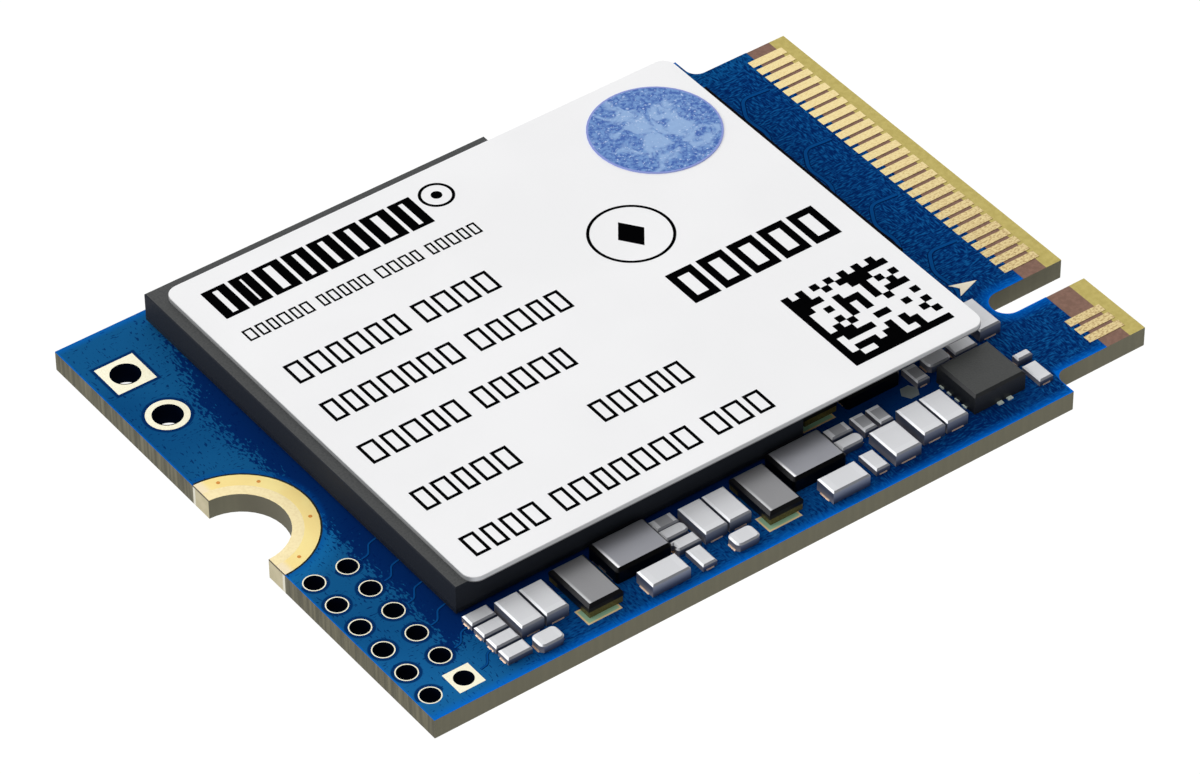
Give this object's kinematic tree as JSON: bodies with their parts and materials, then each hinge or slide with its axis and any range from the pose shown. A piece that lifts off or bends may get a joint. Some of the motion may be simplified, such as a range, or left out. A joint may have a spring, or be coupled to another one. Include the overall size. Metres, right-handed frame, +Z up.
{
  "type": "solid state drive",
  "caption": "Compact flat memory card with an edge connector at one end, a half-round screw notch at the other, and a printed label over its chips.",
  "frame": {"origin": "centre of the card's underside", "axes": "+X along the card from the mounting notch to the edge connector, +Z up, out of the side with the components, +Y across the card towards the long contact row"},
  "size_m": [0.03, 0.022, 0.0023],
  "materials": {
    "laminate": "sawn glass fibre laminate",
    "solder_mask": "blue solder mask, satin",
    "contact_gold": "gold plating",
    "bright_gold": "gold plating, brighter",
    "copper": "bare copper",
    "hole_plating": "dark plated bore",
    "test_metal": "tinned pad",
    "ink": "printed ink",
    "package_black": "moulded epoxy",
    "substrate_dark": "dark substrate",
    "silicon": "polished silicon",
    "solder": "solder",
    "charcoal": "moulded epoxy, grey",
    "lead_metal": "tinned lead",
    "cap_metal": "tinned end cap",
    "cap_ceramic": "sintered ceramic",
    "resistor_top": "grey glaze",
    "inductor_block": "grey ferrite",
    "inductor_foot": "dull gold",
    "inductor_pad": "gold pad",
    "core_black": "pressed powder",
    "label_white": "coated label",
    "label_glue": "adhesive",
    "disc_blue": "patterned foil",
    "crystal_ceramic": "dark ceramic",
    "crystal_lid": "plated lid",
    "quartz": "clear quartz",
    "bond_gold": "gold wire"
  },
  "bodies": {
    "root": {"laminate_lower_half": "laminate", "laminate_upper_half": "laminate", "solder_mask_top": "solder_mask", "solder_mask_bottom": "solder_mask", "contact_fingers_top": "contact_gold", "contact_fingers_bottom": "contact_gold", "mounting_land_top": "contact_gold", "mounting_land_bottom": "contact_gold", "header_pads_top": "contact_gold", "header_pads_bottom": "contact_gold", "mounting_land_rim": "bright_gold", "board_end_plating": "bright_gold", "debug_pads_top": "bright_gold", "debug_pads_bottom": "bright_gold", "component_pads": "bright_gold", "power_inductor_terminals": "bright_gold", "inner_copper_plane": "copper", "stitching_vias": "copper", "power_inductor_coils": "copper", "plated_hole_barrels": "hole_plating", "test_pad": "test_metal", "key_mark": "ink", "memory_moulding": "package_black", "controller_moulding": "package_black", "memory_substrate": "substrate_dark", "controller_substrate": "substrate_dark", "chip_inductor_windings": "substrate_dark", "memory_dies": "silicon", "controller_dies": "silicon", "power_chip_die": "silicon", "memory_solder_balls": "solder", "controller_solder_balls": "solder", "solder_joints": "solder", "power_chip_moulding": "charcoal", "power_chip_leads": "lead_metal", "power_chip_paddle": "lead_metal", "capacitor_end_caps": "cap_metal", "small_capacitor_end_caps": "cap_metal", "rounded_capacitor_end_caps": "cap_metal", "filter_end_caps": "cap_metal", "resistor_end_caps": "cap_metal", "tiny_capacitor_end_caps": "cap_metal", "capacitor_ceramics": "cap_ceramic", "small_capacitor_ceramics": "cap_ceramic", "rounded_capacitor_ceramics": "cap_ceramic", "filter_ceramics": "cap_ceramic", "tiny_capacitor_ceramics": "cap_ceramic", "resistor_ceramics": "resistor_top", "chip_inductor_mouldings": "inductor_block", "chip_inductor_feet": "inductor_foot", "chip_inductor_pads": "inductor_pad", "power_inductor_cores": "core_black", "label_sheet": "label_white", "label_adhesive": "label_glue", "security_disc": "disc_blue", "crystal_tray": "crystal_ceramic", "crystal_lid": "crystal_lid", "crystal_blank": "quartz", "memory_bond_wires": "bond_gold", "controller_bond_wires": "bond_gold"}
  },
  "joints": []
}
